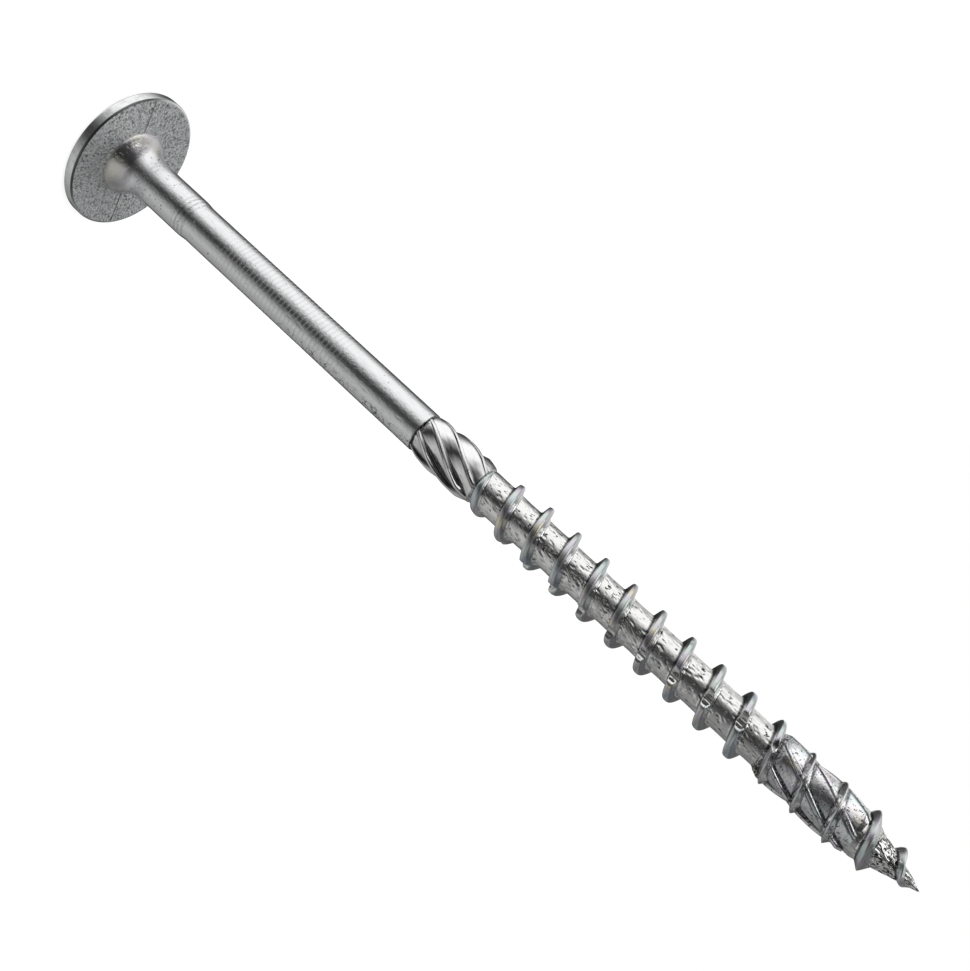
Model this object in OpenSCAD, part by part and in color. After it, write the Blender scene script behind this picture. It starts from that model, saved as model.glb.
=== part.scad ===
// Washer head wood screw with a shank reamer, a coarse thread and a ribbed point.
// It stands on its head: the top face of the head is on z = 0 and the point is up +Z.
// All sizes are in millimetres. Heights called "up the screw" are taken from the bearing face.

/* [Length] */
// Length from the bearing face under the head to the point
length = 140; // [120:5:200]
// Length of the threaded part, from the end of the reamer to the point
thread_length = 69.8; // [56:0.2:80]

/* [Head] */
// Diameter of the washer head
head_diameter = 20.8; // [18:0.2:25]
// Thickness of the head at its rim
head_thickness = 1.65; // [1.4:0.05:2.4]
// Rounding of the two edges of the rim
rim_round = 0.3; // [0.1:0.05:0.5]
// Diameter of the neck where it meets the head
neck_diameter = 10.1; // [9.6:0.1:12]
// Height of the neck above the bearing face
neck_height = 4.4; // [4:0.1:6]

/* [Drive recess] */
// Size of the six-lobe recess across opposite lobes
recess_lobes = 6.75; // [5.6:0.05:6.75]
// Depth of the recess below the top of the head
recess_depth = 3.7; // [3:0.1:4]
// Width of the chamfer round the mouth of the recess
recess_chamfer = 0.2; // [0.1:0.05:0.4]

/* [Shank] */
// Diameter of the plain shank
shank_diameter = 5.8; // [5.6:0.05:6.2]
// Diameter of the gripped collar between the neck and the plain shank
collar_diameter = 6.1; // [6:0.05:6.4]
// Height of the end of the collar up the screw
collar_end = 14.3; // [10:0.1:20]

/* [Reamer] */
// Length of the reamer between the shank and the thread
reamer_length = 10.4; // [8:0.2:14]
// Diameter over the reamer ridges
reamer_diameter = 6.76; // [6.4:0.04:7.4]
// Diameter at the bottom of the reamer flutes
flute_diameter = 5.3; // [5.1:0.05:5.5]
// Number of reamer ridges
reamer_ridges = 7; // [5:1:9]
// Height a reamer ridge climbs in one turn
reamer_lead = 34; // [26:1:60]

/* [Thread] */
// Diameter over the thread
thread_diameter = 8; // [7.4:0.1:9]
// Diameter of the core between the turns
root_diameter = 5.24; // [4.8:0.04:5.4]
// Height the thread climbs in one turn
thread_pitch = 4.75; // [4:0.05:6]
// Width of the crest of the thread
crest_width = 0.65; // [0.4:0.05:0.9]
// Width of one flank of the thread, along the screw
flank_width = 0.38; // [0.3:0.02:0.6]
// Length over which the first turns rise to the full diameter
thread_runout = 9; // [5:0.5:14]

/* [Thread notches] */
// Number of cutting notches, one to a turn, counted back from the ribs
notch_count = 10; // [4:1:10]
// Depth of the notch next to the ribs
notch_depth = 1.2; // [0.7:0.1:1.3]
// Depth of the notch farthest from the ribs
far_notch_depth = 0.5; // [0.3:0.1:0.7]
// Angle by which each notch falls short of a full turn from the next
notch_step = 12.5; // [0:0.5:20]

/* [Point] */
// Length of the tapered point
point_length = 8.4; // [7:0.2:11]
// Length of the ribbed part below the point
rib_length = 13.6; // [10:0.2:18]
// Diameter over the ribs below the point
rib_diameter = 6.34; // [6:0.02:6.8]
// Diameter of the thread where the ribs cross it
ribbed_thread_diameter = 7.24; // [7:0.02:7.4]
// Number of ribs
rib_count = 6; // [4:1:8]
// Height a rib climbs in one turn
rib_lead = 40; // [30:1:60]

/* [Hidden] */

// Steps of one turn of the thread, of a rim edge and of an arc of the recess
turn_steps = 24;
round_steps = 4;
lobe_steps = 8;
$fn = 96;

// Radii from the diameters above
head_r = head_diameter / 2;
neck_r = neck_diameter / 2;
collar_r = collar_diameter / 2;
shank_r = shank_diameter / 2;
flute_r = flute_diameter / 2;
root_r = root_diameter / 2;
thread_r = thread_diameter / 2;

// Places up the screw
reamer_end = length - thread_length;
reamer_start = reamer_end - reamer_length;
point_start = length - point_length;
rib_end = point_start - 0.6;
rib_start = rib_end - rib_length;

// Six-lobe recess: lobe and waist arcs that run into each other
lobe_r = 0.081 * recess_lobes;
lobe_at = recess_lobes / 2 - lobe_r;
waist_at = 0.3593 * recess_lobes;
half_turn = cos(30);
waist_r = (lobe_r * lobe_r - waist_at * waist_at - lobe_at * lobe_at + 2 * lobe_at * waist_at * half_turn)
    / (2 * (waist_at - lobe_at * half_turn - lobe_r));
waist_centre = waist_at + waist_r;

// Outline of the head, neck, collar and shank, turned about the axis
function rim_arc(z, from) =
    [for (i = [0 : round_steps])
        [head_r - rim_round + rim_round * cos(from + 90 * i / round_steps),
         z + rim_round * sin(from + 90 * i / round_steps)]];

// The neck bulges a little at its foot and runs out hollow into the collar
function neck_line(u) =
    collar_r + (neck_r - collar_r) * (0.5 + 0.5 * cos(180 * pow(u, 0.8))) * (1 - 0.1 * u);
function neck_points() =
    [for (i = [0 : 3 * round_steps])
        [neck_line(i / (3 * round_steps)), head_thickness + neck_height * i / (3 * round_steps)]];

module turned_blank() {
    rotate_extrude()
        polygon(concat(
            [[0, 0]],
            rim_arc(rim_round, -90),
            rim_arc(head_thickness - rim_round, 0),
            neck_points(),
            [[collar_r, head_thickness + collar_end - 0.3],
             [shank_r, head_thickness + collar_end],
             [shank_r, head_thickness + reamer_start],
             [0, head_thickness + reamer_start]]));
}

// Ridges that wind steeply round a core, as a stack of turned sections.
// Each ridge has a steep side, a narrow land and a long hollow back.
section_turn = [0, 0.14, 0.34, 0.58, 0.84];
section_rise = [1, 1, 0.42, 0.1, 0];
section_size = len(section_turn);

function ridge_point(i, count, low, high, turn, t) =
    let (part = i % section_size)
    let (angle = 360 / count * (floor(i / section_size) + section_turn[part]) + turn)
    let (r = low + (high - low) * section_rise[part])
    [r * cos(angle), r * sin(angle), t];

// lows and highs are given as lists of [height, radius] that lookup() reads
module ridged_bar(from, to, levels, count, lead, lows, highs, start_turn) {
    around = count * section_size;
    points = concat(
        [for (k = [0 : levels], i = [0 : around - 1])
            let (t = from + (to - from) * k / levels)
            ridge_point(i, count, lookup(t, lows), lookup(t, highs), start_turn + 360 * (t - from) / lead, t)],
        [[0, 0, from], [0, 0, to]]);
    foot = around * (levels + 1);
    sides = [for (k = [0 : levels - 1], i = [0 : around - 1], side = [0, 1])
        let (j = (i + 1) % around)
        side == 0
            ? [k * around + i, (k + 1) * around + i, (k + 1) * around + j]
            : [k * around + i, (k + 1) * around + j, k * around + j]];
    ends = [for (i = [0 : around - 1], side = [0, 1])
        let (j = (i + 1) % around)
        side == 0
            ? [foot, i, j]
            : [foot + 1, levels * around + j, levels * around + i]];
    translate([0, 0, head_thickness])
        polyhedron(points = points, faces = concat(sides, ends), convexity = 6);
}

// The reamer starts inside the end of the shank, under its surface
module reamer() {
    ridge_r = reamer_diameter / 2;
    ridged_bar(
        reamer_start - 0.5, reamer_end, 16, reamer_ridges, reamer_lead,
        [[reamer_start - 0.5, flute_r - 0.12],
         [reamer_start + 0.2, flute_r],
         [reamer_end - 1.4, flute_r],
         [reamer_end, flute_r + 0.13]],
        [[reamer_start - 0.5, shank_r - 0.3],
         [reamer_start + 0.2, shank_r - 0.03],
         [reamer_start + 3, ridge_r],
         [reamer_end - 1.4, ridge_r],
         [reamer_end, flute_r + 0.35]],
        14);
}

// The ribs stand on a sleeve that is a little larger than the thread core
module point_ribs() {
    ridged_bar(
        rib_start, rib_end, 14, rib_count, rib_lead,
        [[rib_start, root_r + 0.14], [rib_end, root_r + 0.14]],
        [[rib_start, root_r + 0.3],
         [rib_start + 1.2, rib_diameter / 2],
         [rib_end, rib_diameter / 2]],
        36);
}

// Thread rows: distance from the crest along the screw, and share of the thread height there
crest_half = crest_width / 2;
flank_end = crest_half + flank_width;
fillet_end = flank_end + 0.45;
row_at = [-fillet_end, -flank_end, -crest_half - 0.45 * flank_width, -crest_half,
          crest_half, crest_half + 0.45 * flank_width, flank_end, fillet_end, thread_pitch / 2];
row_rise = [0, 0.06, 0.62, 1, 1, 0.62, 0.06, 0, -0.02];
rows = len(row_at);

// The thread core runs under the reamer, so it starts smaller than the flutes
core_start = min(root_r, flute_r) - 0.12;
thread_foot = reamer_end - 0.9;
last_crest = 1.6;
turns = ceil((thread_length + 2) / thread_pitch) + 1;

function core(t) = lookup(t, [
    [reamer_end, core_start],
    [reamer_end + 0.5, root_r + 0.06],
    [reamer_end + 3, root_r + 0.03],
    [reamer_end + 4.5, root_r],
    [point_start + 0.4, root_r],
    [length - 0.1, 0.2]]);

// Radius of the crest: rises over the run-out, is lower in the ribs, then closes in on the point
function runout(t) =
    pow(min(1, max(0, (t - reamer_end - 0.08) / thread_runout)), 0.45);
function full_crest(t) = lookup(t, [
    [rib_start - 0.8, thread_r],
    [rib_start + 1.2, ribbed_thread_diameter / 2],
    [rib_end - 1.2, ribbed_thread_diameter / 2],
    [point_start - 0.4, 0.96 * thread_r],
    [point_start + 0.21 * point_length, 0.82 * thread_r],
    [point_start + 0.52 * point_length, 0.665 * thread_r],
    [point_start + 0.81 * point_length, 0.255 * thread_r],
    [length, 0.06 * thread_r]]);

function thread_height(t) = max(0, full_crest(t) - core(t)) * runout(t);
function row_t(a, k) =
    length - last_crest + thread_pitch * (a / turn_steps + floor(k / rows) - turns) + row_at[k % rows];
function thread_point(a, k) =
    let (t = row_t(a, k))
    let (r = core(t) + thread_height(t) * row_rise[k % rows])
    [r * cos(360 * a / turn_steps), r * sin(360 * a / turn_steps), t];

// Points below the foot or past the tip of the screw close up to one point on the axis
thread_rows = (turns + 2) * rows;
foot_index = turn_steps * thread_rows;
function grid_index(a, k) =
    let (wrap = a == turn_steps ? 1 : 0)
    let (b = a - wrap * turn_steps)
    let (row = k + wrap * rows)
    let (t = row_t(b, row))
    t < thread_foot ? foot_index
    : t > length - 0.12 ? foot_index + 1
    : row * turn_steps + b;

module thread() {
    points = concat(
        [for (k = [0 : thread_rows - 1], a = [0 : turn_steps - 1]) thread_point(a, k)],
        [[0, 0, thread_foot - 0.3], [0, 0, length]]);
    sides = [for (k = [0 : thread_rows - rows - 2], a = [0 : turn_steps - 1], side = [0, 1])
        let (p = grid_index(a, k))
        let (q = side == 0 ? grid_index(a, k + 1) : grid_index(a + 1, k + 1))
        let (s = side == 0 ? grid_index(a + 1, k + 1) : grid_index(a + 1, k))
        if (p != q && q != s && s != p) [p, q, s]];
    translate([0, 0, head_thickness])
        polyhedron(points = points, faces = sides, convexity = 10);
}

// Cutting notches: a V across the crest of each turn, with a long ramp and a steep cutting side.
// They lie in a row that winds slowly back round the screw from the turn below the ribs.
last_notch_turn = -93;
notch_ramp = [-21, -4];
notch_wall = [3, 12];
notch_reach = 2 * (crest_half + flank_width);
last_notch = floor((rib_start - 3 - length + last_crest) / thread_pitch - last_notch_turn / 360);

function polar(r, angle) = [r * cos(angle), r * sin(angle)];

module notches() {
    clear_r = thread_r + 0.5;
    for (k = [0 : notch_count - 1]) {
        turn = last_notch_turn + notch_step * k;
        t = length - last_crest + thread_pitch * (turn / 360 + last_notch - k);
        bottom_r = thread_r - notch_depth + (notch_depth - far_notch_depth) * k / (notch_count - 1);
        translate([0, 0, head_thickness + t - notch_reach / 2])
            rotate([0, 0, turn])
                linear_extrude(height = notch_reach)
                    polygon([polar(bottom_r, notch_ramp[1]), polar(clear_r, notch_ramp[0]),
                             polar(clear_r, notch_wall[1]), polar(bottom_r, notch_wall[0])]);
    }
}

// Six-lobe recess, cut up into the head from its top face: round lobes and hollow waists in turn
lobe_sweep = atan2(waist_centre * sin(30), waist_centre * half_turn - lobe_at);
function lobe_point(i, angle) =
    [lobe_at * cos(60 * i) + lobe_r * cos(60 * i + angle),
     lobe_at * sin(60 * i) + lobe_r * sin(60 * i + angle)];
function waist_point(i, angle) =
    [waist_centre * cos(60 * i + 30) + waist_r * cos(60 * i + angle),
     waist_centre * sin(60 * i + 30) + waist_r * sin(60 * i + angle)];

module recess() {
    outline = [for (i = [0 : 5], k = [0 : 2 * lobe_steps - 1])
        k <= lobe_steps
            ? lobe_point(i, -lobe_sweep + 2 * lobe_sweep * k / lobe_steps)
            : waist_point(i, lobe_sweep + 180 + (60 - 2 * lobe_sweep) * (k - lobe_steps) / lobe_steps)];
    mouth_r = recess_lobes / 2 + recess_chamfer;
    floor_r = 0.9 * waist_at;
    dish = (mouth_r - floor_r) * tan(20);
    translate([0, 0, -1])
        linear_extrude(height = recess_depth + 1)
            polygon(outline);
    translate([0, 0, recess_depth - 0.01])
        cylinder(h = 0.5, r1 = floor_r, r2 = 0.3);
    translate([0, 0, -dish])
        cylinder(h = 2 * dish, r1 = 2 * mouth_r - floor_r, r2 = floor_r);
}

module screw() {
    color([0.74, 0.75, 0.77])
        difference() {
            union() {
                turned_blank();
                reamer();
                difference() {
                    thread();
                    notches();
                }
                point_ribs();
            }
            recess();
        }
}

screw();
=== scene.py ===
import math

import bpy
import numpy as np
from mathutils import Matrix, Vector, noise


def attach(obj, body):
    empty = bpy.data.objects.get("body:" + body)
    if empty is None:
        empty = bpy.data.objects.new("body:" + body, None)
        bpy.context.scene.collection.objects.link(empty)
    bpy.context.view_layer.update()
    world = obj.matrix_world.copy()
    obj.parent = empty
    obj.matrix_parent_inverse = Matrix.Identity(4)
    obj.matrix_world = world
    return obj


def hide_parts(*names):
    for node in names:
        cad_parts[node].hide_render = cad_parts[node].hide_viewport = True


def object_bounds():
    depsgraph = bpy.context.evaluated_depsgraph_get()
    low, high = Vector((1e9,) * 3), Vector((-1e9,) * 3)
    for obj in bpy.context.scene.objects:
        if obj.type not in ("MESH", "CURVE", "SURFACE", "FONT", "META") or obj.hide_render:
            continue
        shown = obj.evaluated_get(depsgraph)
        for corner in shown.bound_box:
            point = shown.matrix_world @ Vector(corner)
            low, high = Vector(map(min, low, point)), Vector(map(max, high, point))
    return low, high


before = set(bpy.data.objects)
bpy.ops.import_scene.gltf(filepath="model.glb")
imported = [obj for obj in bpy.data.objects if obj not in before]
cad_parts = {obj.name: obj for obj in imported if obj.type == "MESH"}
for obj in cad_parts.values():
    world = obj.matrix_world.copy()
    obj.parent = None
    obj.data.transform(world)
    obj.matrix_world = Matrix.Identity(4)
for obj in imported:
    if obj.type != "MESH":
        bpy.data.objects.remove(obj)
cad_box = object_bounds()


# Washer head, neck and plain shank: one length of steel wire, the head and its six-lobe recess
# upset cold in a die, the shank left as drawn but for rolled rings, then zinc plated.
# It is one skin that runs from the floor of the recess over the head and up the shank.
MM = 0.001
HEAD_RADIUS = round(cad_box[1][0] / MM, 3)
HEAD_THICKNESS = 1.65
RIM_ROUND = 0.3
RIM_MIDDLE = HEAD_RADIUS - RIM_ROUND
NECK_RADIUS = 5.05
NECK_HEIGHT = 4.4
NECK_TAIL = 2.6
NECK_FLARE = 2.15
NECK_CURVE = 1.7
COLLAR_RADIUS = 3.05
COLLAR_END = 14.3
SHANK_RADIUS = 2.9
SHANK_END = 59.8
RECESS_LOBES = 6.75
RECESS_DEPTH = 3.7
RECESS_CONE = 0.49
RECESS_MOUTH = RECESS_LOBES / 2 + 0.2
LOBE_SHARE = 0.081
WAIST_SHARE = 0.3593
DISH_SLOPE = math.tan(math.radians(20))
HEAD_AROUND = 288


def recess_radius(turn):
    """Distance from the axis to the recess wall: round lobes and hollow waists in turn."""
    lobe = LOBE_SHARE * RECESS_LOBES
    lobe_at = RECESS_LOBES / 2 - lobe
    waist_at = WAIST_SHARE * RECESS_LOBES
    half = math.cos(math.radians(30))
    waist = lobe ** 2 - waist_at ** 2 - lobe_at ** 2 + 2 * lobe_at * waist_at * half
    waist /= 2 * (waist_at - lobe_at * half - lobe)
    waist_middle = waist_at + waist
    sweep = math.atan2(waist_middle * 0.5, waist_middle * half - lobe_at)
    meeting = math.atan2(lobe * math.sin(sweep), lobe_at + lobe * math.cos(sweep))
    sixth = math.pi / 3
    off_lobe = np.abs((turn + sixth / 2) % sixth - sixth / 2)
    off_waist = sixth / 2 - off_lobe
    lobe_side = np.sqrt(np.maximum(0, lobe ** 2 - (lobe_at * np.sin(off_lobe)) ** 2))
    waist_side = np.sqrt(np.maximum(0, waist ** 2 - (waist_middle * np.sin(off_waist)) ** 2))
    on_lobe = lobe_at * np.cos(off_lobe) + lobe_side
    on_waist = waist_middle * np.cos(off_waist) - waist_side
    return np.where(off_lobe < meeting, on_lobe, on_waist)


def smooth(low, high, x):
    """Eases from 0 at low to 1 at high, whichever of them is the larger."""
    share = np.clip((x - low) / (high - low), 0, 1)
    return share * share * (3 - 2 * share)


def ring_noise(around, turn, up):
    """Cloudy noise, about -1 to 1, round the axis; larger values of around and up make it finer."""
    x, y, z = np.broadcast_arrays(around * np.cos(turn), around * np.sin(turn), up)
    flat = [noise.noise(Vector(point)) for point in zip(x.ravel(), y.ravel(), z.ravel())]
    return np.array(flat).reshape(x.shape)


def rows_up(*bands):
    """Heights for rows of points, from (start, end, step) bands."""
    return np.concatenate([np.arange(*band) for band in bands])


def closed_skin(name, rings, first, last):
    """A skin through rings of points, rows by columns in millimetres, closed by a point at each end."""
    rows, around = rings.shape[:2]
    points = np.concatenate([rings.reshape(-1, 3), [first, last]]) * MM
    here = np.arange(around)
    beside = (here + 1) % around
    below = np.arange(rows - 1)[:, None] * around
    above = below + around
    sides = np.stack([below + here, below + beside, above + beside, above + here], -1)
    last_row = (rows - 1) * around
    start = np.stack([np.full(around, rows * around), beside, here], -1)
    end = np.stack([np.full(around, rows * around + 1), last_row + here, last_row + beside], -1)
    mesh = bpy.data.meshes.new(name)
    mesh.from_pydata(points.tolist(), [], sides.reshape(-1, 4).tolist() + start.tolist() + end.tolist())
    mesh.shade_smooth()
    mesh.set_sharp_from_angle(angle=math.radians(38))
    piece = bpy.data.objects.new(name, mesh)
    bpy.context.scene.collection.objects.link(piece)
    return piece


head_turn = np.arange(HEAD_AROUND) * 2 * math.pi / HEAD_AROUND
recess_wall = recess_radius(head_turn)
dish_edge = (RECESS_MOUTH - recess_wall) * DISH_SLOPE
wall_height = RECESS_DEPTH - 0.14 - dish_edge
floor_radius = 0.9 * WAIST_SHARE * RECESS_LOBES

# Each row is a radius and a height from the top face of the head, which the screw stands on: first
# the cone, floor, wall and dish of the recess, then the top face, the rim and the underside
head_rows = [(0.3, RECESS_DEPTH + RECESS_CONE), (1.2, RECESS_DEPTH + 0.25), (floor_radius, RECESS_DEPTH)]
head_rows += [(floor_radius + (recess_wall - floor_radius) * share, RECESS_DEPTH) for share in (0.5, 0.94)]
for share in (0, 0.15, 0.4, 0.7, 0.92, 1):
    head_rows.append((recess_wall, RECESS_DEPTH - 0.08 - wall_height * share))
for share in (0.06, 0.4, 0.75, 0.97):
    head_rows.append((recess_wall + (RECESS_MOUTH - recess_wall) * share, dish_edge * (1 - share)))
head_rows += [(radius, 0) for radius in (RECESS_MOUTH + 0.06, 4.4, 5.6, 6.8, 8, 9.2, 9.9)]
rim_first = len(head_rows)
for corner, start in ((RIM_ROUND, -90), (HEAD_THICKNESS - RIM_ROUND, 0)):
    for angle in np.radians(start + np.arange(0, 91, 11.25)):
        head_rows.append((RIM_MIDDLE + RIM_ROUND * math.cos(angle), corner + RIM_ROUND * math.sin(angle)))
rim_last = len(head_rows) - 1
head_rows += [(radius, HEAD_THICKNESS) for radius in np.linspace(RIM_MIDDLE - 0.1, NECK_RADIUS + 0.02, 24)]

# From here on, rows are placed by their height above the underside of the head
neck_first = len(head_rows)
for above in np.arange(0, NECK_HEIGHT + NECK_TAIL, 0.12):
    swell = math.exp(-(above / NECK_FLARE) ** NECK_CURVE)
    head_rows.append((COLLAR_RADIUS + (NECK_RADIUS - COLLAR_RADIUS) * swell, HEAD_THICKNESS + above))

# Grip marks of the die, as (height, depth), are pressed round the end of the collar, where it steps
# down to the shank; the shank wavers a little and is scarred on one side
GRIP_MARKS = ((12.17, 0.012), (12.97, 0.012), (13.4, 0.016), (13.8, 0.02), (14.2, 0.022))
GRIP_WIDTH = 0.09
WAVER_DEPTH = 0.006
SCAR_DEPTH = 0.05
grip_tilt = 0.05 * np.sin(head_turn + 1.1)
scarred_side = smooth(0.2, 0.9, np.cos(head_turn + math.radians(20)))
for above in rows_up((7.2, 11.8, 0.4), (11.8, 14.8, 0.07), (14.9, 59.5, 0.45)):
    step_down = smooth(COLLAR_END - 1.1, COLLAR_END + 0.5, above)
    radius = COLLAR_RADIUS - (COLLAR_RADIUS - SHANK_RADIUS) * step_down
    for mark, depth in GRIP_MARKS:
        pressed = np.exp(-((above - mark - grip_tilt) / GRIP_WIDTH) ** 2)
        radius = radius - depth * pressed * (0.6 + 0.4 * np.sin(2 * head_turn + mark))
    waver = ring_noise(1.4, head_turn, above * 0.16)
    scar = ring_noise(5, head_turn, above * 0.9 + 7)
    scar_reach = scarred_side * smooth(30, 38, above)
    radius = radius - WAVER_DEPTH * (1 + waver) - SCAR_DEPTH * scar_reach * smooth(0.28, 0.6, scar)
    head_rows.append((radius, HEAD_THICKNESS + above))

# The shank ends in a torn lip, where the reamer was rolled into it
TORN_DEPTH = 0.14
shank_top = HEAD_THICKNESS + SHANK_END
torn = TORN_DEPTH * ring_noise(6, head_turn, 3.3)
head_rows += [(SHANK_RADIUS - 0.01, shank_top - 0.18 + torn), (SHANK_RADIUS - 0.05, shank_top - 0.06 + torn),
              (SHANK_RADIUS - 0.16, shank_top + torn), (2.45, shank_top + 0.02)]
level = np.ones(HEAD_AROUND)
head_rings = np.array([
    np.stack([radius * level * np.cos(head_turn), radius * level * np.sin(head_turn), up * level], -1)
    for radius, up in head_rows])
head_and_shank = closed_skin("head_and_shank", head_rings, (0, 0, RECESS_DEPTH + RECESS_CONE),
                             (0, 0, shank_top + 0.02))


def put(tree, kind, feeds=None, **settings):
    """A shader node with its settings, and its sockets fed by values or by other nodes' sockets."""
    made = tree.nodes.new(kind)
    for key, value in settings.items():
        setattr(made, key, value)
    for key, value in (feeds or {}).items():
        if isinstance(value, bpy.types.NodeSocket):
            tree.links.new(value, made.inputs[key])
        else:
            made.inputs[key].default_value = value
    return made


def calc(tree, operation, *values):
    """One step of arithmetic."""
    return put(tree, "ShaderNodeMath", dict(enumerate(values)), operation=operation).outputs[0]


def times(tree, first, second):
    """One value times another."""
    return calc(tree, "MULTIPLY", first, second)


def point_at(tree, x, y, z):
    """A point from its three values."""
    return put(tree, "ShaderNodeCombineXYZ", {0: x, 1: y, 2: z}).outputs[0]


def speckle(tree, place, scale, detail=3.0, roughness=0.55):
    """Cloudy noise, 0 to 1."""
    return put(tree, "ShaderNodeTexNoise", {
        "Vector": place, "Scale": scale, "Detail": detail, "Roughness": roughness}).outputs["Fac"]


def shades(tree, factor, stops):
    """A ramp from (place, grey or colour) stops."""
    made = put(tree, "ShaderNodeValToRGB", {"Fac": factor})
    row = made.color_ramp.elements
    while len(row) < len(stops):
        row.new(0.5)
    for part, (place, shade) in zip(row, stops):
        part.position = place
        part.color = (*(shade if isinstance(shade, tuple) else (shade,) * 3), 1)
    return made.outputs["Color"]


def blend(tree, factor, first, second):
    """Two colours mixed."""
    return put(tree, "ShaderNodeMix", {0: factor, 6: first, 7: second}, data_type="RGBA").outputs[2]


def stain(tree, colour, mask, strength, shade):
    """A colour with another shade laid over it where the mask is."""
    return blend(tree, times(tree, mask, strength), colour, (*shade, 1))


def between(tree, value, low, high):
    """A mask that climbs from 0 at low to 1 at high."""
    return put(tree, "ShaderNodeMapRange", {
        "Value": value, "From Min": low, "From Max": high}, interpolation_type="SMOOTHSTEP").outputs[0]


def fading(tree, value, low, high):
    """A mask that falls from 1 at low to 0 at high."""
    return calc(tree, "SUBTRACT", 1.0, between(tree, value, low, high))


def steel_plate(name):
    """A plain zinc-plated steel: its tree and shader, and where a point is, in mm from the top face."""
    metal = bpy.data.materials.new(name)
    metal.use_nodes = True
    tree = metal.node_tree
    shader = tree.nodes["Principled BSDF"]
    shader.inputs["Metallic"].default_value = 1.0
    here = put(tree, "ShaderNodeTexCoord").outputs["Object"]
    place = put(tree, "ShaderNodeVectorMath", {0: here, "Scale": 1 / MM}, operation="SCALE").outputs[0]
    x, y, z = put(tree, "ShaderNodeSeparateXYZ", {0: place}).outputs[:3]
    return metal, tree, shader, place, x, y, z


def dress(tree, shader, colour, roughness, heights):
    """Feeds colour, roughness and a chain of (height, depth in mm) bumps to the shader."""
    tree.links.new(colour, shader.inputs["Base Color"])
    tree.links.new(roughness, shader.inputs["Roughness"])
    normal = None
    for height, depth in heights:
        feeds = {"Height": height, "Distance": depth * MM, "Strength": 1.0}
        if normal is not None:
            feeds["Normal"] = normal
        normal = put(tree, "ShaderNodeBump", feeds).outputs[0]
    tree.links.new(normal, shader.inputs["Normal"])


# The pressed faces of the head are matt: a fine grain, streaks running out from the neck where the
# metal flowed, and one parting line straight across from the two halves of the die
FACE_SHADES = [(0.41, (0.06, 0.06, 0.06)), (0.45, (0.55, 0.57, 0.58)), (0.52, (0.8, 0.82, 0.82)),
               (0.57, (1, 1, 1))]
FACE_CLOUD = (0.66, 0.70, 0.72, 1)
PARTING_SHADE = (0.06, 0.06, 0.06)
PARTING_TURN = math.radians(32.5)
SPOKES = 26.0
pressed_face, tree, shader, place, x, y, z = steel_plate("pressed_face")
across = calc(tree, "SQRT", calc(tree, "ADD", times(tree, x, x), times(tree, y, y)))
spoke_x = times(tree, calc(tree, "DIVIDE", x, across), SPOKES)
spoke_y = times(tree, calc(tree, "DIVIDE", y, across), SPOKES)
spoke = point_at(tree, spoke_x, spoke_y, times(tree, across, 1.1))
streaks = speckle(tree, spoke, scale=1.6, detail=4.0, roughness=0.6)
grain = speckle(tree, place, scale=3.3, detail=2.5, roughness=0.75)
cloud = speckle(tree, place, scale=0.35, detail=2.0)
off_line = calc(tree, "ABSOLUTE", calc(
    tree, "SUBTRACT", times(tree, x, math.sin(PARTING_TURN)), times(tree, y, math.cos(PARTING_TURN))))
parting_line = fading(tree, calc(tree, "ADD", off_line, times(tree, grain, 0.06)), 0.08, 0.15)
speck = calc(tree, "ADD", times(tree, grain, 0.6), times(tree, streaks, 0.4))
face_colour = shades(tree, speck, FACE_SHADES)
face_colour = blend(tree, shades(tree, cloud, [(0.35, 0.0), (0.7, 0.35)]), face_colour, FACE_CLOUD)
face_colour = stain(tree, face_colour, parting_line, 0.85, PARTING_SHADE)
face_rough = shades(tree, speck, [(0.4, 0.45), (0.6, 0.28)])
dress(tree, shader, face_colour, face_rough, [(grain, 0.3), (streaks, 0.14), (parting_line, -0.05)])

# The rim was squeezed between the dies and is smoother, with fine lines running round it, and a
# painted shadow darkens a line on its front along the edge of the underside
RIM_SHADES = [(0.32, (0.62, 0.63, 0.64)), (0.5, (0.8, 0.81, 0.81)), (0.7, (0.84, 0.85, 0.84))]
RIM_SHADOW_COLOUR = (0.05, 0.05, 0.05)
squeezed_rim, tree, shader, place, x, y, z = steel_plate("squeezed_rim")
round_way = point_at(tree, times(tree, x, 0.25), times(tree, y, 0.25), times(tree, z, 7.0))
round_lines = speckle(tree, round_way, scale=1.3, detail=4.0, roughness=0.6)
patches = speckle(tree, place, scale=0.8, detail=4.0, roughness=0.6)
on_front = between(tree, times(tree, y, -1.0), 2.0, 7.0)
# Painted shadow: darkens the rim's front along the edge where it turns into the underside
painted_rim_shadow = times(tree, between(tree, z, 1.4, 1.52), on_front)
rim_colour = stain(tree, shades(tree, patches, RIM_SHADES), painted_rim_shadow, 0.85, RIM_SHADOW_COLOUR)
rim_rough = shades(tree, patches, [(0.35, 0.28), (0.6, 0.14)])
dress(tree, shader, rim_colour, rim_rough, [(round_lines, 0.012), (patches, 0.03)])

# The neck and the shank are as bright as drawn wire, with lines along them, pits and a film of
# plating that is violet and yellow on the neck
WIRE_SHADES = [(0.3, (0.72, 0.73, 0.745)), (0.55, (0.82, 0.825, 0.83))]
FILM_SHADES = [(0.36, (0.80, 0.74, 0.82)), (0.48, (0.82, 0.79, 0.80)), (0.6, (0.86, 0.84, 0.74))]
PIT_SHADE = (0.2, 0.2, 0.21)
RING_SHADE = (0.45, 0.46, 0.47)
RING_ROUGHNESS = (0.48, 0.48, 0.48)
RING_STEP = 0.722
GRIP_SHADOW_COLOUR = (0.12, 0.12, 0.12)
SCAR_SHADE = (0.08, 0.08, 0.07)
TORN_SHADE = (0.07, 0.07, 0.07)
drawn_wire, tree, shader, place, x, y, z = steel_plate("drawn_wire")
draw_lines = speckle(tree, point_at(tree, x, y, times(tree, z, 0.09)), scale=5.5, detail=5.0, roughness=0.65)
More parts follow.
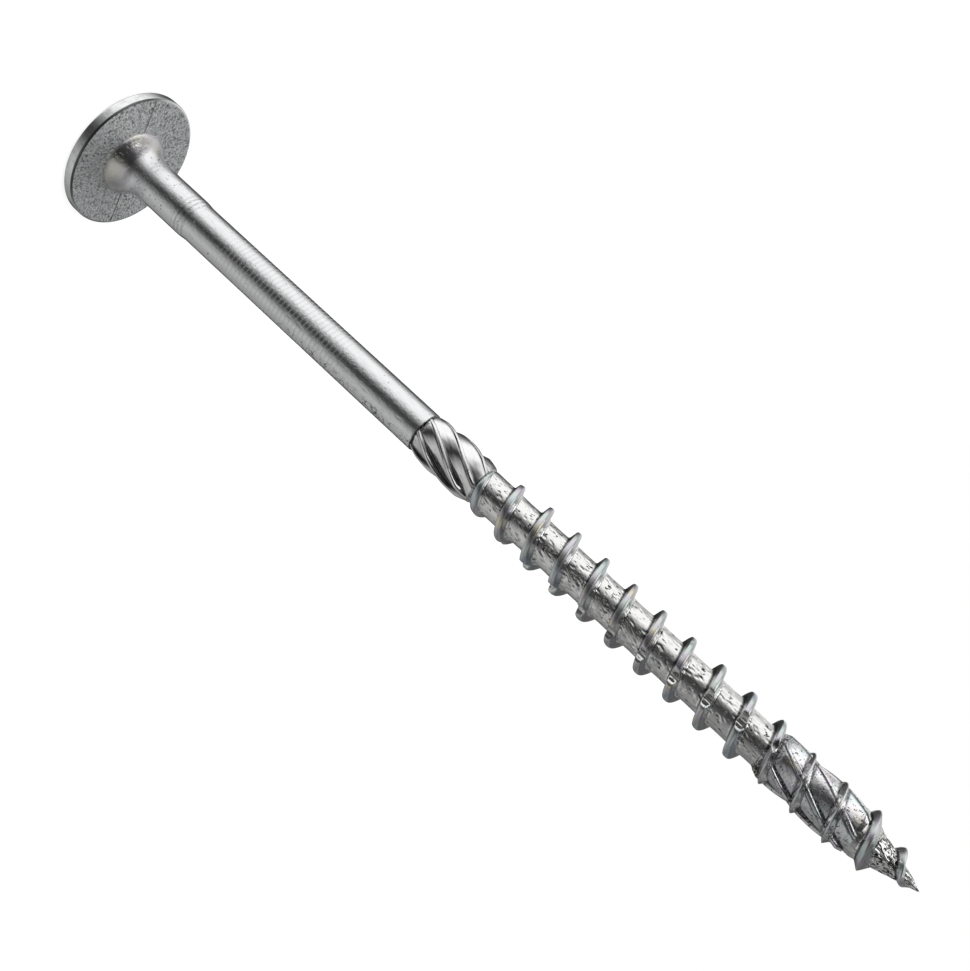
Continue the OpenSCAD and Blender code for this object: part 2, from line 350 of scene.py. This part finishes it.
film = speckle(tree, place, scale=0.28, detail=2.0)
blots = speckle(tree, place, scale=1.7, detail=5.0, roughness=0.65)
fine = speckle(tree, place, scale=9.0, detail=2.0, roughness=0.5)
near_head = fading(tree, z, 9.0, 24.0)
pits = fading(tree, calc(tree, "SUBTRACT", blots, times(tree, near_head, 0.05)), 0.29, 0.33)
on_neck = fading(tree, z, 2.6, 6.2)

# Rings are rolled round the middle of the shank; the same lines, broken up, paint shade into the grip marks
# at the end of the collar
ring_lean = calc(tree, "ADD", times(tree, x, 0.03), times(tree, draw_lines, 0.12))
ring_place = calc(tree, "ADD", z, ring_lean)
ring_wave = calc(tree, "SINE", times(tree, ring_place, 2 * math.pi / RING_STEP))
ring_line = calc(tree, "POWER", calc(tree, "ADD", times(tree, ring_wave, 0.5), 0.5), 3.0)
ring_reach = times(tree, between(tree, z, 20.5, 26.0), fading(tree, z, 44.0, 51.0))
rings = times(tree, ring_line, ring_reach)
grip_reach = times(tree, between(tree, z, 13.4, 14.4), fading(tree, z, 15.9, 16.3))
# Painted shade: dark lines in the grip marks at the end of the collar
painted_grip_shade = times(tree, times(tree, ring_line, grip_reach), between(tree, blots, 0.4, 0.5))

# Thin broken scars run over one side, up to the torn lip
scar_field = speckle(tree, place, scale=0.6, detail=3.0, roughness=0.6)
off_scar = calc(tree, "ABSOLUTE", calc(tree, "SUBTRACT", scar_field, 0.5))
scar_reach = times(tree, between(tree, x, 1.6, 2.4), between(tree, z, 33.0, 40.0))
scars = times(tree, scar_reach, fading(tree, off_scar, 0.008, 0.02))
scars = times(tree, scars, between(tree, blots, 0.42, 0.5))
torn_lip = between(tree, calc(tree, "ADD", z, times(tree, blots, 0.5)), 61.5, 61.62)

wire_colour = shades(tree, draw_lines, WIRE_SHADES)
wire_colour = blend(tree, times(tree, on_neck, 0.7), wire_colour, shades(tree, film, FILM_SHADES))
wire_colour = stain(tree, wire_colour, pits, 0.8, PIT_SHADE)
wire_colour = stain(tree, wire_colour, rings, 0.1, RING_SHADE)
# Painted shade in the grip marks
wire_colour = stain(tree, wire_colour, painted_grip_shade, 0.45, GRIP_SHADOW_COLOUR)
wire_colour = stain(tree, wire_colour, scars, 0.9, SCAR_SHADE)
wire_colour = stain(tree, wire_colour, torn_lip, 0.85, TORN_SHADE)
wire_rough = stain(tree, shades(tree, draw_lines, [(0.35, 0.2), (0.58, 0.1)]), rings, 0.8, RING_ROUGHNESS)
dress(tree, shader, wire_colour, wire_rough,
      [(rings, 0.004), (draw_lines, 0.006), (blots, 0.052), (pits, -0.02), (scars, -0.03), (fine, 0.0008)])

finishes = [pressed_face, squeezed_rim, drawn_wire]
for finish in finishes:
    head_and_shank.data.materials.append(finish)
row_finish = np.full(len(head_rows) - 1, finishes.index(pressed_face))
row_finish[rim_first:rim_last] = finishes.index(squeezed_rim)
row_finish[neck_first:] = finishes.index(drawn_wire)
first_cap = np.full(HEAD_AROUND, finishes.index(pressed_face))
last_cap = np.full(HEAD_AROUND, finishes.index(drawn_wire))
face_finish = np.concatenate([np.repeat(row_finish, HEAD_AROUND), first_cap, last_cap])
head_and_shank.data.polygons.foreach_set("material_index", face_finish.astype(np.int32))
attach(head_and_shank, "root")
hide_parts("screw")


# Shank reamer: seven steep right-hand ridges rolled into the wire between the shank and the thread.
# Each has a steep cutting side, a narrow land with a raised lip, and a long hollow back.
REAMER_START = 59.3
REAMER_END = 70.2
REAMER_RIDGES = 7
REAMER_LEAD = 34
REAMER_TURN = 14
# Height and radius, of the hollows and of the lands
REAMER_LOWS = [(59.3, 2.53), (60.0, 2.66), (68.8, 2.66), (69.9, 2.72), (70.2, 2.78)]
REAMER_HIGHS = [(59.3, 2.6), (60.0, 2.87), (61.2, 3.12), (63.2, 3.32), (68.3, 3.34), (69.5, 3.05),
                (70.2, 2.85)]
# Share of the way from one ridge to the next, and share of the ridge's height there
RIDGE_SHAPE = [(0, 1), (0.02, 1), (0.1, 0.99), (0.12, 0.93), (0.15, 0.72), (0.18, 0.72), (0.34, 0.46),
               (0.58, 0.14), (0.76, 0), (0.86, -0.06), (0.89, 0.0), (0.955, 0.86), (0.985, 0.97), (1, 1)]
# Points gather on the steep side and round the land
RIDGE_STEPS = 30
RIDGE_SPACING = [(0, 0), (0.3, 0.18), (0.62, 0.82), (1, 1)]
# Where the painted shade lines on both sides of a land lie, and how wide they are
LAND_SHADE_SEAMS = ((0.145, 0.03), (0.89, 0.028))
RIDGE_DENT = 0.02


def follow(points, at):
    """The value at a place on the line through (place, value) points."""
    return np.interp(at, *zip(*points))


def ridged_rings(up, count, lead, first_turn, lows, highs):
    """Rings of points for a bar with ridges that wind round it, and how near each is to a painted shade line
    beside a land.
    """
    ridge = np.arange(count * RIDGE_STEPS) // RIDGE_STEPS
    part = follow(RIDGE_SPACING, (np.arange(count * RIDGE_STEPS) % RIDGE_STEPS) / RIDGE_STEPS)
    rise = follow(RIDGE_SHAPE, part)
    seam_shade = sum(np.exp(-((part - at) / width) ** 2) for at, width in LAND_SHADE_SEAMS)
    rings = []
    for above in up:
        turn = 2 * math.pi * ((ridge + part) / count + (above - up[0]) / lead) + math.radians(first_turn)
        low = follow(lows, above)
        high = follow(highs, above)
        radius = low + (high - low) * rise
        dent = ring_noise(2.2 * radius, turn, 0.5 * above)
        radius = radius - RIDGE_DENT * (1 + dent) * (0.4 + 0.6 * (1 - np.clip(rise, 0, 1)))
        height = np.full_like(radius, HEAD_THICKNESS + above)
        rings.append(np.stack([radius * np.cos(turn), radius * np.sin(turn), height], -1))
    return np.array(rings), np.tile(seam_shade, len(up))


def mark_points(mesh, name, values):
    """Keeps a value for each point of a mesh, for its finish to read."""
    made = mesh.attributes.new(name, "FLOAT", "POINT")
    made.data.foreach_set("value", values.astype(np.float32))


def mark_of(tree, name):
    """The value that a mesh keeps under this name."""
    return put(tree, "ShaderNodeAttribute", attribute_name=name).outputs["Fac"]


reamer_up = rows_up((REAMER_START, 61, 0.1), (61, 68.8, 0.2), (68.8, REAMER_END + 0.001, 0.1))
reamer_rings, reamer_seam_shade = ridged_rings(
    reamer_up, REAMER_RIDGES, REAMER_LEAD, REAMER_TURN, REAMER_LOWS, REAMER_HIGHS)
reamer = closed_skin("reamer", reamer_rings, (0, 0, HEAD_THICKNESS + REAMER_START - 0.1),
                     (0, 0, HEAD_THICKNESS + REAMER_END + 0.06))
# The painted shade lines beside the lands, kept on the points
mark_points(reamer.data, "seam_shade", np.append(reamer_seam_shade, [0, 0]))

# Rolled bright: smooth backs with faint lines along the ridges, painted shade in the seams beside the
# lands, and black scale left at the torn start
RIDGE_SHADES = [(0.3, (0.74, 0.75, 0.75)), (0.52, (0.88, 0.885, 0.88)), (0.7, (0.9, 0.9, 0.87))]
SCALE_AND_SHADOW_COLOUR = (0.03, 0.03, 0.03)
rolled_ridges, tree, shader, place, x, y, z = steel_plate("rolled_ridges")
unwind = times(tree, z, -2 * math.pi / REAMER_LEAD)
unwind_cos = calc(tree, "COSINE", unwind)
unwind_sin = calc(tree, "SINE", unwind)
back_x = calc(tree, "SUBTRACT", times(tree, x, unwind_cos), times(tree, y, unwind_sin))
back_y = calc(tree, "ADD", times(tree, x, unwind_sin), times(tree, y, unwind_cos))
ridge_way = point_at(tree, back_x, back_y, times(tree, z, 0.12))
ridge_lines = speckle(tree, ridge_way, scale=5.0, detail=4.0, roughness=0.6)
ridge_spots = speckle(tree, place, scale=2.6, detail=5.0, roughness=0.65)
at_start = fading(tree, z, 61.5, 62.2)
scale_cover = times(tree, at_start, between(tree, ridge_spots, 0.5, 0.54))
scale_left = calc(tree, "MAXIMUM", scale_cover, fading(tree, ridge_spots, 0.25, 0.34))
# Painted shade: darkens the seams on both sides of each land; the black scale is real
seam_shade = times(tree, mark_of(tree, "seam_shade"), shades(tree, ridge_spots, [(0.38, 0.65), (0.48, 1.0)]))
scale_and_seam_shade = calc(tree, "MAXIMUM", scale_left, seam_shade)
ridge_colour = stain(tree, shades(tree, ridge_lines, RIDGE_SHADES), scale_and_seam_shade, 0.95, SCALE_AND_SHADOW_COLOUR)
ridge_rough = shades(tree, ridge_lines, [(0.35, 0.18), (0.58, 0.09)])
dress(tree, shader, ridge_colour, ridge_rough, [(ridge_lines, 0.006), (scale_left, -0.03)])
reamer.data.materials.append(rolled_ridges)
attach(reamer, "root")
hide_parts("screw")


# Coarse thread and point: one right-hand turn after another rolled up out of the wire, running
# from a low start behind the reamer to the last small fin at the pinched and broken-off point.
# The roots keep the dents of the rolling dies; the flanks are satin.
LENGTH = round(cad_box[1][2] / MM, 3) - HEAD_THICKNESS
PITCH = 4.75
LAST_CREST = 1.6
ROOT_RADIUS = 2.62
THREAD_RADIUS = 4.0
THREAD_FOOT = 69.3
THREAD_AROUND = 128
TURNS = 17
RUNOUT = 9
# Distance from the crest along the screw and share of the thread's height: a wide round crest, like
# the edge of a tongue, between two steep sides
FLANK = [(-2.375, -0.02), (-0.95, 0), (-0.74, 0.03), (-0.64, 0.13), (-0.56, 0.45), (-0.48, 0.8),
         (-0.38, 0.945), (-0.24, 0.99), (0, 1), (0.16, 0.99), (0.29, 0.95), (0.39, 0.86), (0.48, 0.68),
         (0.57, 0.4), (0.66, 0.14), (0.78, 0.03), (0.98, 0), (2.375, -0.02)]
# Rows of points across one turn, close together on the two sides
row_at = np.array([
    -2.15, -1.92, -1.7, -1.48, -1.28, -1.1, -0.95, -0.82, -0.73, -0.66, -0.61, -0.56, -0.51, -0.46, -0.38,
    -0.3, -0.2, -0.1, 0.02, 0.12, 0.2, 0.28, 0.35, 0.41, 0.47, 0.53, 0.59, 0.65, 0.73, 0.84, 0.98, 1.15,
    1.35, 1.55, 1.75, 1.95, 2.15, 2.375])
# Height and radius, of the core and of the crest, which is lower between the ribs and at the point
CORE = [(70.2, 2.5), (70.7, 2.68), (73.2, 2.65), (74.7, ROOT_RADIUS), (132.0, ROOT_RADIUS), (139.9, 0.2)]
CREST = [(116.6, THREAD_RADIUS), (118.6, 3.62), (129.8, 3.62), (131.2, 3.84), (133.36, 3.28), (135.97, 2.66),
         (138.4, 1.02), (140.0, 0.24)]
# From the ribs on the turns are pointed; height, and half the width of their foot
POINTED_FOOT = [(130.5, 0.74), (132, 1.0), (133.5, 1.0), (135, 0.7)]

step = np.arange((TURNS + 1) * THREAD_AROUND)
thread_turn = (2 * math.pi * step / THREAD_AROUND)[:, None] + 0 * row_at
thread_up = LENGTH - LAST_CREST - PITCH * TURNS + (PITCH * step / THREAD_AROUND)[:, None] + row_at
core = follow(CORE, thread_up)
runout = np.clip((thread_up - REAMER_END - 0.08) / RUNOUT, 0, 1) ** 0.45
height = np.maximum(0, follow(CREST, thread_up) - core) * runout
past_rib_start = smooth(116.5, 118.6, thread_up)
between_ribs = past_rib_start * smooth(131.6, 130.4, thread_up)
round_rise = follow(FLANK, row_at)
pointed_rise = np.clip(1 - np.abs(row_at) / follow(POINTED_FOOT, thread_up), 0, 1) ** 1.1
rise = round_rise + (pointed_rise - round_rise) * past_rib_start
thread_radius = core + height * rise

# One cutting notch to a turn, in a row that winds slowly back round the screw: a long ramp down from
# the crest and a steep side up again, deepest next to the ribs, with a shallow one more at each end
LAST_NOTCH = -5 - 93 / 360
NOTCH_APART = 1 - 12.5 / 360
# Depth by number, counted from the ribs, and share of it by degrees past the middle of a notch
NOTCH_DEPTHS = [(-2, 0), (-1, 0.5), (0, 1.2), (9, 0.5), (10, 0.4), (11, 0)]
NOTCH_SHAPE = [(-21, 0), (-4, 1), (3, 1), (10, 0.1), (13, 0)]
turns_from_tip = (step / THREAD_AROUND - TURNS)[:, None] + 0 * row_at
notch_count = (LAST_NOTCH - turns_from_tip) / NOTCH_APART
nearest_notch = np.round(notch_count)
past_notch = -360 * NOTCH_APART * (notch_count - nearest_notch)
notch_cut = follow(NOTCH_DEPTHS, nearest_notch) * follow(NOTCH_SHAPE, past_notch)
crest_left = np.maximum(core, follow(CREST, thread_up) - notch_cut)
cut_away = smooth(0.02, 0.1, thread_radius - crest_left)
thread_radius = np.minimum(thread_radius, crest_left)

# Long dents in the roots, a few nicks on the crests, and a crumpled point
LONG_DENT = 0.08
SMALL_DENT = 0.02
BROAD_DENT = 0.012
CRUMPLE = 0.17
# Height, and how much the roots are dented there
DENTED = [(71, 0.5), (74, 0.7), (80, 0.8), (84, 1), (114, 1), (117, 0.5), (119, 0.4), (130, 0.5),
          (131.5, 1.2), (133, 1.5), (139, 1.1), (140, 0)]
in_root = 1 - smooth(0.03, 0.3, rise)
long_dents = LONG_DENT * smooth(0.26, 0.4, ring_noise(9.5, thread_turn, 1.15 * thread_up))
small_dents = SMALL_DENT * smooth(0.2, 0.5, ring_noise(22, thread_turn, 3.1 * thread_up + 40))
broad_dents = BROAD_DENT * (ring_noise(3.1, thread_turn, 0.7 * thread_up + 90) + 1)
dents = long_dents + small_dents + broad_dents
thread_radius = thread_radius - in_root * follow(DENTED, thread_up) * dents * np.minimum(1, core / 2)
nicks = ring_noise(7, thread_turn, 0.8 * thread_up + 17)
nick_depth = 0.008 * (1 + nicks) + 0.05 * smooth(0.5, 0.8, nicks)
thread_radius = thread_radius - smooth(0.8, 1, rise) * height * nick_depth
at_point = smooth(131.4, 133.5, thread_up) * smooth(140, 138.6, thread_up) * (1 - smooth(0.2, 0.6, rise))
crumple = smooth(-0.1, 0.45, ring_noise(2.6 * thread_radius, thread_turn, 1.5 * thread_up + 5))
thread_radius = thread_radius - at_point * CRUMPLE * crumple * np.minimum(1, thread_radius / 1.2)
thread_radius = np.clip(thread_radius, 0.05, THREAD_RADIUS)
thread_points = np.stack([thread_radius * np.cos(thread_turn), thread_radius * np.sin(thread_turn),
                          HEAD_THICKNESS + thread_up], -1)

# The last row of a turn runs into the first row of the next; what lies below the foot or past the
# tip closes up on the axis
foot_at = thread_up.size
index = np.arange(thread_up.size).reshape(thread_up.shape)
index = np.where(thread_up < THREAD_FOOT, foot_at, np.where(thread_up > LENGTH - 0.1, foot_at + 1, index))
index = np.concatenate([index[:-THREAD_AROUND], index[THREAD_AROUND:, :1]], axis=1)
corner = [index[:-1, :-1], index[1:, :-1], index[1:, 1:], index[:-1, 1:]]
halves = np.concatenate([np.stack([corner[0], corner[1], corner[2]], -1).reshape(-1, 3),
                         np.stack([corner[0], corner[2], corner[3]], -1).reshape(-1, 3)])
real = (halves[:, 0] != halves[:, 1]) & (halves[:, 1] != halves[:, 2]) & (halves[:, 2] != halves[:, 0])
used, halves = np.unique(halves[real], return_inverse=True)
halves = halves.reshape(-1, 3)
thread_ends = [(0, 0, HEAD_THICKNESS + THREAD_FOOT - 0.3), (0, 0, HEAD_THICKNESS + LENGTH)]
all_points = np.concatenate([thread_points.reshape(-1, 3), thread_ends]) * MM
thread_mesh = bpy.data.meshes.new("thread")
thread_mesh.from_pydata(all_points[used].tolist(), [], halves.tolist())
thread_mesh.shade_smooth()

# Marks for the finish: how far up the flank a point is, and a painted shadow line at the foot of the flank
# towards the head
flank_mark = rise * (1 - cut_away) * (1 - 0.8 * between_ribs)
# Painted shadow: a dark line along the foot of each flank on the head side
foot_shadow = smooth(-0.92, -0.78, row_at) * smooth(-0.52, -0.62, row_at)
foot_shadow = foot_shadow * smooth(0.25, 0.8, height) * (1 - cut_away)
mark_points(thread_mesh, "flank", np.append(flank_mark.ravel(), [0, 0])[used])
mark_points(thread_mesh, "foot", np.append(foot_shadow.ravel(), [0, 0])[used])
thread = bpy.data.objects.new("thread", thread_mesh)
bpy.context.scene.collection.objects.link(thread)

# Satin flanks with a film that drifts from green and blue to violet and yellow; bright, pitted roots;
# a painted shadow line at the head-side foot of each flank
ROOT_SHADES = [(0.25, (0.84, 0.84, 0.83)), (0.6, (0.3, 0.3, 0.29)), (0.95, (0.05, 0.05, 0.05))]
FLANK_SHADES = [(0.34, (0.58, 0.62, 0.70)), (0.43, (0.60, 0.68, 0.66)), (0.5, (0.66, 0.68, 0.65)),
                (0.57, (0.63, 0.60, 0.69)), (0.66, (0.72, 0.69, 0.58))]
FOOT_SHADOW_COLOUR = (0.04, 0.04, 0.04)
ROOT_ROUGHNESS = (0.09, 0.09, 0.09, 1)
rolled_thread, tree, shader, place, x, y, z = steel_plate("rolled_thread")
on_flank = between(tree, mark_of(tree, "flank"), 0.04, 0.3)
off_flank = calc(tree, "SUBTRACT", 1.0, on_flank)
thread_film = speckle(tree, place, scale=0.33, detail=2.0, roughness=0.5)
long_way = point_at(tree, x, y, times(tree, z, 0.35))
root_marks = speckle(tree, long_way, scale=3.4, detail=3.5, roughness=0.62)
root_specks = speckle(tree, place, scale=1.1, detail=2.0, roughness=0.5)
satin = speckle(tree, place, scale=14.0, detail=2.0, roughness=0.5)
more_at_point = times(tree, between(tree, z, 132.5, 134.5), 0.07)
fewer_in_patches = shades(tree, root_specks, [(0.4, 0.0), (0.6, 0.07)])
marks_here = calc(tree, "ADD", calc(tree, "SUBTRACT", root_marks, more_at_point), fewer_in_patches)
dent = fading(tree, marks_here, 0.385, 0.42)
root_colour = shades(tree, dent, ROOT_SHADES)
flank_colour = shades(tree, thread_film, FLANK_SHADES)
thread_colour = blend(tree, on_flank, root_colour, flank_colour)
# Painted shadow at the head-side foot of each flank
thread_colour = stain(tree, thread_colour, mark_of(tree, "foot"), 0.85, FOOT_SHADOW_COLOUR)
thread_rough = blend(tree, on_flank, ROOT_ROUGHNESS, shades(tree, satin, [(0.3, 0.32), (0.7, 0.25)]))
root_dents = times(tree, dent, off_flank)
root_waves = times(tree, root_specks, off_flank)
dress(tree, shader, thread_colour, thread_rough, [(root_dents, -0.035), (root_waves, 0.018), (satin, 0.0015)])
thread.data.materials.append(rolled_thread)
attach(thread, "root")
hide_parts("screw")


# Ribs below the point: six steep ribs of the same wire, pinched up across the last turns of the
# thread as it is rolled, so that the screw bites without a drilled hole.
RIB_START = 117.4
RIB_END = 131.0
RIBS = 6
RIB_LEAD = 40
RIB_TURN = 36
# Height and radius, of the hollows and of the ribs
RIB_LOWS = [(117.4, 2.6), (117.8, 2.7), (130.4, 2.7), (131.0, 2.6)]
RIB_HIGHS = [(117.4, 2.64), (117.8, 2.95), (118.6, 3.25), (130.2, 3.25), (131.0, 2.9)]
rib_up = rows_up((RIB_START, 119, 0.1), (119, 130, 0.2), (130, RIB_END + 0.001, 0.1))
rib_rings, rib_seam_shade = ridged_rings(rib_up, RIBS, RIB_LEAD, RIB_TURN, RIB_LOWS, RIB_HIGHS)
point_ribs = closed_skin("point_ribs", rib_rings, (0, 0, HEAD_THICKNESS + RIB_START),
                         (0, 0, HEAD_THICKNESS + RIB_END))

# Painted shade darkens a line on both sides of each turn of the thread, too, where it meets the ribs
CREASE_SHADE_AT = 0.6
CREASE_SHADE_WIDTH = 0.16
rib_point_turn = np.arctan2(rib_rings[..., 1], rib_rings[..., 0])
rib_point_up = rib_rings[..., 2] - HEAD_THICKNESS
turned_up = PITCH * rib_point_turn / (2 * math.pi)
above_crest = rib_point_up - LENGTH + LAST_CREST - turned_up
off_crest = np.abs((above_crest + PITCH / 2) % PITCH - PITCH / 2)
# Painted shade: a dark line where each turn of the thread meets the ribs
crease_shade = np.exp(-((off_crest - CREASE_SHADE_AT) / CREASE_SHADE_WIDTH) ** 2)
mark_points(point_ribs.data, "seam_shade", np.append(np.maximum(rib_seam_shade, crease_shade.ravel()), [0, 0]))

# Pinched bright under a thin film, with painted shade in the seams, and soot in the holes and at the torn
# start
RIB_SHADES = [(0.36, (0.82, 0.88, 0.9)), (0.46, (0.91, 0.92, 0.91)), (0.55, (0.89, 0.86, 0.94)),
              (0.66, (0.92, 0.89, 0.82))]
SOOT_AND_SHADOW_COLOUR = (0.04, 0.04, 0.04)
pinched_ribs, tree, shader, place, x, y, z = steel_plate("pinched_ribs")
rib_film = speckle(tree, place, scale=0.4, detail=2.0)
rib_marks = speckle(tree, place, scale=3.2, detail=5.0, roughness=0.66)
rib_fine = speckle(tree, place, scale=8.0, detail=3.0, roughness=0.6)
rib_waves = speckle(tree, place, scale=1.3, detail=2.5, roughness=0.55)
torn_start = times(tree, fading(tree, z, 120.0, 121.5), between(tree, rib_marks, 0.44, 0.54))
holes = fading(tree, rib_marks, 0.38, 0.41)
seam_shade = times(tree, mark_of(tree, "seam_shade"), shades(tree, rib_marks, [(0.38, 0.4), (0.5, 1.0)]))
# Soot in the holes and at the torn start, and painted shade in the seams
soot_and_shade = calc(tree, "MAXIMUM", calc(tree, "MAXIMUM", torn_start, holes), seam_shade)
rib_colour = stain(tree, shades(tree, rib_film, RIB_SHADES), soot_and_shade, 0.95, SOOT_AND_SHADOW_COLOUR)
rib_rough = shades(tree, rib_marks, [(0.36, 0.22), (0.46, 0.05)])
dress(tree, shader, rib_colour, rib_rough,
      [(soot_and_shade, -0.05), (rib_waves, 0.05), (rib_marks, 0.02), (rib_fine, 0.002)])
point_ribs.data.materials.append(pinched_ribs)
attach(point_ribs, "root")
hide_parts("screw")


# Floor, studio light and camera. The screw stands on its head on a plain white floor in a white
# room; a softbox stands on one side of it, a grey wall on the other, and a dark gap between them.
scene = bpy.context.scene
scene.view_settings.view_transform = "Standard"
FLOOR_SIDE = 6.0
FLOOR_PAINT = (0.4, 0.4, 0.4, 1)
FLOOR_GLOW = 0.68
half_side = FLOOR_SIDE / 2
floor_corners = [(-half_side, -half_side, 0), (half_side, -half_side, 0), (half_side, half_side, 0),
                 (-half_side, half_side, 0)]
floor_mesh = bpy.data.meshes.new("floor")
floor_mesh.from_pydata(floor_corners, [], [(0, 1, 2, 3)])
floor = bpy.data.objects.new("floor", floor_mesh)
scene.collection.objects.link(floor)
floor.visible_glossy = False
white_floor = bpy.data.materials.new("white_floor")
white_floor.use_nodes = True
tree = white_floor.node_tree
tree.nodes.remove(tree.nodes["Principled BSDF"])
rays = put(tree, "ShaderNodeLightPath")
paint = put(tree, "ShaderNodeBsdfDiffuse", {"Color": FLOOR_PAINT})
glow = put(tree, "ShaderNodeEmission", {"Strength": times(tree, rays.outputs["Is Camera Ray"], FLOOR_GLOW)})
both = put(tree, "ShaderNodeAddShader", {0: paint.outputs[0], 1: glow.outputs[0]})
tree.links.new(both.outputs[0], tree.nodes["Material Output"].inputs["Surface"])
floor_mesh.materials.append(white_floor)

# Light round the room by degrees, from behind the screw over its left, the camera and its right: one
# list for what lies low, one for what stands level with the screw and one for what hangs high
LOW_LIGHT = [(-180, 0.04), (-160, 0.05), (-143, 0.16), (-132, 0.29), (-94, 0.38), (-67, 0.5), (-43, 0.35),
             (-23, 0.1), (-12, 0.03), (2, 0.045), (21, 0.28), (41, 0.86), (52, 1.0), (96, 1.0), (111, 0.6),
             (130, 0.16), (150, 0.06), (180, 0.04)]
LEVEL_LIGHT = [(-180, 0.3), (-160, 0.14), (-136, 0.2), (-116, 0.16), (-96, 0.25), (-76, 0.22), (-56, 0.2),
               (-36, 0.1), (-16, 0.05), (4, 0.05), (20, 0.15), (40, 0.75), (56, 1.0), (88, 1.0), (106, 0.65),
               (124, 0.55), (144, 0.75), (164, 0.8), (180, 0.4)]
HIGH_LIGHT = [(-180, 0.2), (-172, 0.1), (-160, 0.08), (-148, 0.25), (-130, 0.22), (-112, 0.11), (-81, 0.32),
              (-46, 0.37), (-30, 0.14), (-20, 0.02), (-9, 0.01), (28, 0.04), (45, 0.12), (64, 0.22),
              (97, 0.34), (127, 0.5), (142, 0.76), (163, 0.66), (180, 0.2)]
CEILING = (0.15, 0.15, 0.15, 1)
WHITE = (1, 1, 1, 1)
GLOSS_LIFT = 0.12


def light_round(tree, around, lights):
    """The room's light by degrees round it."""
    return shades(tree, around, [((degrees + 180) / 360, light) for degrees, light in lights])


room = bpy.data.worlds.new("room")
scene.world = room
room.use_nodes = True
tree = room.node_tree
tree.nodes.clear()
way = put(tree, "ShaderNodeTexCoord").outputs["Generated"]
x, y, z = put(tree, "ShaderNodeSeparateXYZ", {0: way}).outputs[:3]
around = calc(tree, "ARCTAN2", times(tree, x, -1.0), times(tree, y, -1.0))
around = calc(tree, "ADD", calc(tree, "DIVIDE", around, 2 * math.pi), 0.5)
low_wall = light_round(tree, around, LOW_LIGHT)
level_wall = light_round(tree, around, LEVEL_LIGHT)
high_wall = light_round(tree, around, HIGH_LIGHT)
surround = blend(tree, between(tree, z, -0.3, 0.0), low_wall, level_wall)
surround = blend(tree, between(tree, z, 0.05, 0.3), surround, high_wall)
surround = blend(tree, between(tree, z, 0.84, 0.98), surround, CEILING)
rays = put(tree, "ShaderNodeLightPath")
seen = blend(tree, rays.outputs["Is Glossy Ray"], WHITE, surround)
light_level = calc(tree, "ADD", 1.0, times(tree, rays.outputs["Is Glossy Ray"], GLOSS_LIFT))
sky = put(tree, "ShaderNodeBackground", {"Color": seen, "Strength": light_level})
put(tree, "ShaderNodeOutputWorld", {"Surface": sky.outputs[0]})

SOFTBOX_SIDE = 0.5
SOFTBOX_PLACE = (-0.5, -0.2, 0.6)
SOFTBOX_AIM = (0, 0, 0.05)
softbox_light = bpy.data.lights.new("softbox", "AREA")
softbox_light.shape = "RECTANGLE"
softbox_light.size = SOFTBOX_SIDE
softbox_light.size_y = SOFTBOX_SIDE
softbox_light.energy = 1.0
softbox = bpy.data.objects.new("softbox", softbox_light)
softbox.location = SOFTBOX_PLACE
softbox.rotation_euler = (Vector(SOFTBOX_AIM) - softbox.location).to_track_quat("-Z", "Y").to_euler()
scene.collection.objects.link(softbox)

PHOTO_WIDTH = 970
FOCAL_PIXELS = 1322.47
CAMERA_PLACE = Vector((-0.3117, -161.315, 118.617))
CAMERA_RIGHT = Vector((-0.67909, 0.20336, 0.70533))
CAMERA_BACK = Vector((0, -0.96086, 0.27703))
camera_data = bpy.data.cameras.new("camera")
camera_data.sensor_fit = "HORIZONTAL"
camera_data.sensor_width = 36
camera_data.lens = FOCAL_PIXELS / PHOTO_WIDTH * camera_data.sensor_width
camera_data.clip_start = 0.01
camera = bpy.data.objects.new("camera", camera_data)
camera_turn = Matrix((CAMERA_RIGHT, CAMERA_BACK.cross(CAMERA_RIGHT), CAMERA_BACK)).transposed()
camera.matrix_world = Matrix.Translation(CAMERA_PLACE * MM) @ camera_turn.to_4x4()
scene.collection.objects.link(camera)
scene.camera = camera
